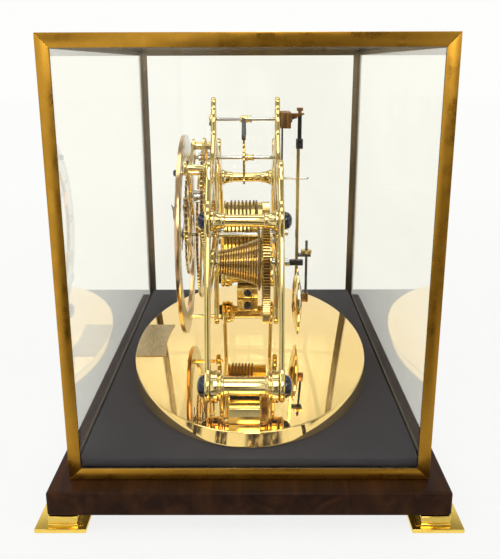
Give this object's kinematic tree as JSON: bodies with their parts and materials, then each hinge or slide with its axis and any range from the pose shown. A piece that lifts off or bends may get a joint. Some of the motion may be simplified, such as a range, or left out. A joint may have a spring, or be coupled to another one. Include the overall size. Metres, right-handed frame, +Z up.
{
  "type": "skeleton clock",
  "caption": "Fusee skeleton clock with a pierced dial, visible train, pendulum and oval brass plate, under a glazed brass case on a wooden base with brass feet.",
  "frame": {"origin": "centre of the footprint of the feet, on the surface they stand on", "axes": "+Z up, dial faces -Y, +X to the right of someone who reads the dial"},
  "size_m": [0.46, 0.298, 0.33],
  "materials": {
    "bright_brass": "polished",
    "aged_brass": "antique",
    "steel": "polished",
    "blued_steel": "blued",
    "dark_steel": "dark",
    "dark_wood": "waxed",
    "clear_glass": "clear",
    "gut_line": "satin"
  },
  "bodies": {
    "clock_frame": {"foot_front_left": "bright_brass", "foot_front_right": "bright_brass", "foot_rear_left": "bright_brass", "foot_rear_right": "bright_brass", "base_board": "dark_wood", "oval_base_plate": "bright_brass", "pillar_seat_left": "bright_brass", "pillar_seat_right": "bright_brass", "front_plate": "bright_brass", "rear_plate": "bright_brass", "lower_pillar_left": "bright_brass", "lower_pillar_right": "bright_brass", "upper_pillar_left": "bright_brass", "upper_pillar_right": "bright_brass", "cap_lower_front_left": "blued_steel", "cap_lower_front_right": "blued_steel", "cap_lower_rear_left": "blued_steel", "cap_lower_rear_right": "blued_steel", "cap_upper_front_left": "blued_steel", "cap_upper_front_right": "blued_steel", "cap_upper_rear_left": "blued_steel", "cap_upper_rear_right": "blued_steel", "train_bridge": "bright_brass", "chapter_ring": "bright_brass", "suspension_cock": "aged_brass", "barrel_arbor": "steel", "barrel_ratchet": "steel", "line_run": "gut_line"},
    "going_barrel": {"barrel": "bright_brass", "barrel_cover": "bright_brass", "mainspring": "dark_steel", "line_on_barrel": "gut_line"},
    "fusee_and_great_wheel": {"fusee": "bright_brass", "great_wheel": "bright_brass", "fusee_arbor": "steel"},
    "centre_and_minute_hand": {"centre_arbor": "steel", "centre_wheel": "bright_brass", "cannon_pinion": "steel", "minute_hand": "blued_steel"},
    "third": {"third_arbor": "blued_steel", "third_wheel": "bright_brass"},
    "escape": {"escape_arbor": "blued_steel", "escape_wheel": "bright_brass"},
    "minute_work": {"minute_wheel": "bright_brass"},
    "hour_work": {"hour_wheel": "bright_brass", "hour_hand": "blued_steel"},
    "pallets_and_crutch": {"pallets": "steel", "crutch": "dark_steel"},
    "pendulum": {"pendulum_rod": "bright_brass", "suspension_spring": "steel"},
    "bob": {"pendulum_bob": "bright_brass", "rating_screw": "steel"},
    "nut": {"rating_nut": "bright_brass"},
    "click": {"barrel_click": "steel"},
    "glazed_case": {"case_frame": "aged_brass", "glass_front": "clear_glass", "glass_rear": "clear_glass", "glass_left": "clear_glass", "glass_right": "clear_glass", "glass_top": "clear_glass"}
  },
  "joints": [
    {"name": "centre_turn", "type": "hinge", "parent": "clock_frame", "child": "centre_and_minute_hand", "pos_m": [0, 0, 0.1596], "axis": [0, 1, 0], "continuous": true},
    {"name": "great_turn", "type": "hinge", "parent": "clock_frame", "child": "fusee_and_great_wheel", "pos_m": [0.0548, 0, 0.1474], "axis": [0, 1, 0], "continuous": true},
    {"name": "barrel_turn", "type": "hinge", "parent": "clock_frame", "child": "going_barrel", "pos_m": [-0.064, 0, 0.1469], "axis": [0, 1, 0], "continuous": true},
    {"name": "third_turn", "type": "hinge", "parent": "clock_frame", "child": "third", "pos_m": [0.0441, 0, 0.2034], "axis": [0, 1, 0], "continuous": true},
    {"name": "escape_turn", "type": "hinge", "parent": "clock_frame", "child": "escape", "pos_m": [0, 0, 0.2309], "axis": [0, 1, 0], "continuous": true},
    {"name": "minute_turn", "type": "hinge", "parent": "clock_frame", "child": "minute_work", "pos_m": [0.031, 0, 0.1904], "axis": [0, 1, 0], "continuous": true},
    {"name": "hour_turn", "type": "hinge", "parent": "clock_frame", "child": "hour_work", "pos_m": [0, 0, 0.1596], "axis": [0, 1, 0], "continuous": true},
    {"name": "pendulum_swing", "type": "hinge", "parent": "clock_frame", "child": "pendulum", "pos_m": [0, 0.0448, 0.2649], "axis": [0, 1, 0], "range_deg": [-3, 3]},
    {"name": "pallets_rock", "type": "hinge", "parent": "clock_frame", "child": "pallets_and_crutch", "pos_m": [0, 0, 0.2649], "axis": [0, 1, 0], "range_deg": [-3, 3]},
    {"name": "bob_slide", "type": "slide", "parent": "pendulum", "child": "bob", "axis": [0, 0, 1], "range_m": [-0.002, 0.002]},
    {"name": "nut_turn", "type": "hinge", "parent": "pendulum", "child": "nut", "pos_m": [0, 0.053, 0.1429], "axis": [0, 0, 1], "range_deg": [-905, 905]},
    {"name": "click_lift", "type": "hinge", "parent": "clock_frame", "child": "click", "pos_m": [-0.0465, 0.0286, 0.1537], "axis": [0, -1, 0], "range_deg": [0, 20]},
    {"name": "case_lift", "type": "slide", "parent": "clock_frame", "child": "glazed_case", "axis": [0, 0, 1], "range_m": [0, 0.3]}
  ],
  "couplings": [
    {"joint": "great_turn", "follows": "centre_turn", "ratio": -0.090909},
    {"joint": "barrel_turn", "follows": "centre_turn", "ratio": -0.066},
    {"joint": "third_turn", "follows": "centre_turn", "ratio": -12},
    {"joint": "escape_turn", "follows": "centre_turn", "ratio": 144},
    {"joint": "minute_turn", "follows": "centre_turn", "ratio": -0.33333},
    {"joint": "hour_turn", "follows": "centre_turn", "ratio": 0.083333},
    {"joint": "pallets_rock", "follows": "pendulum_swing", "ratio": 1},
    {"joint": "nut_turn", "follows": "bob_slide", "rad_per_m": -7854}
  ]
}
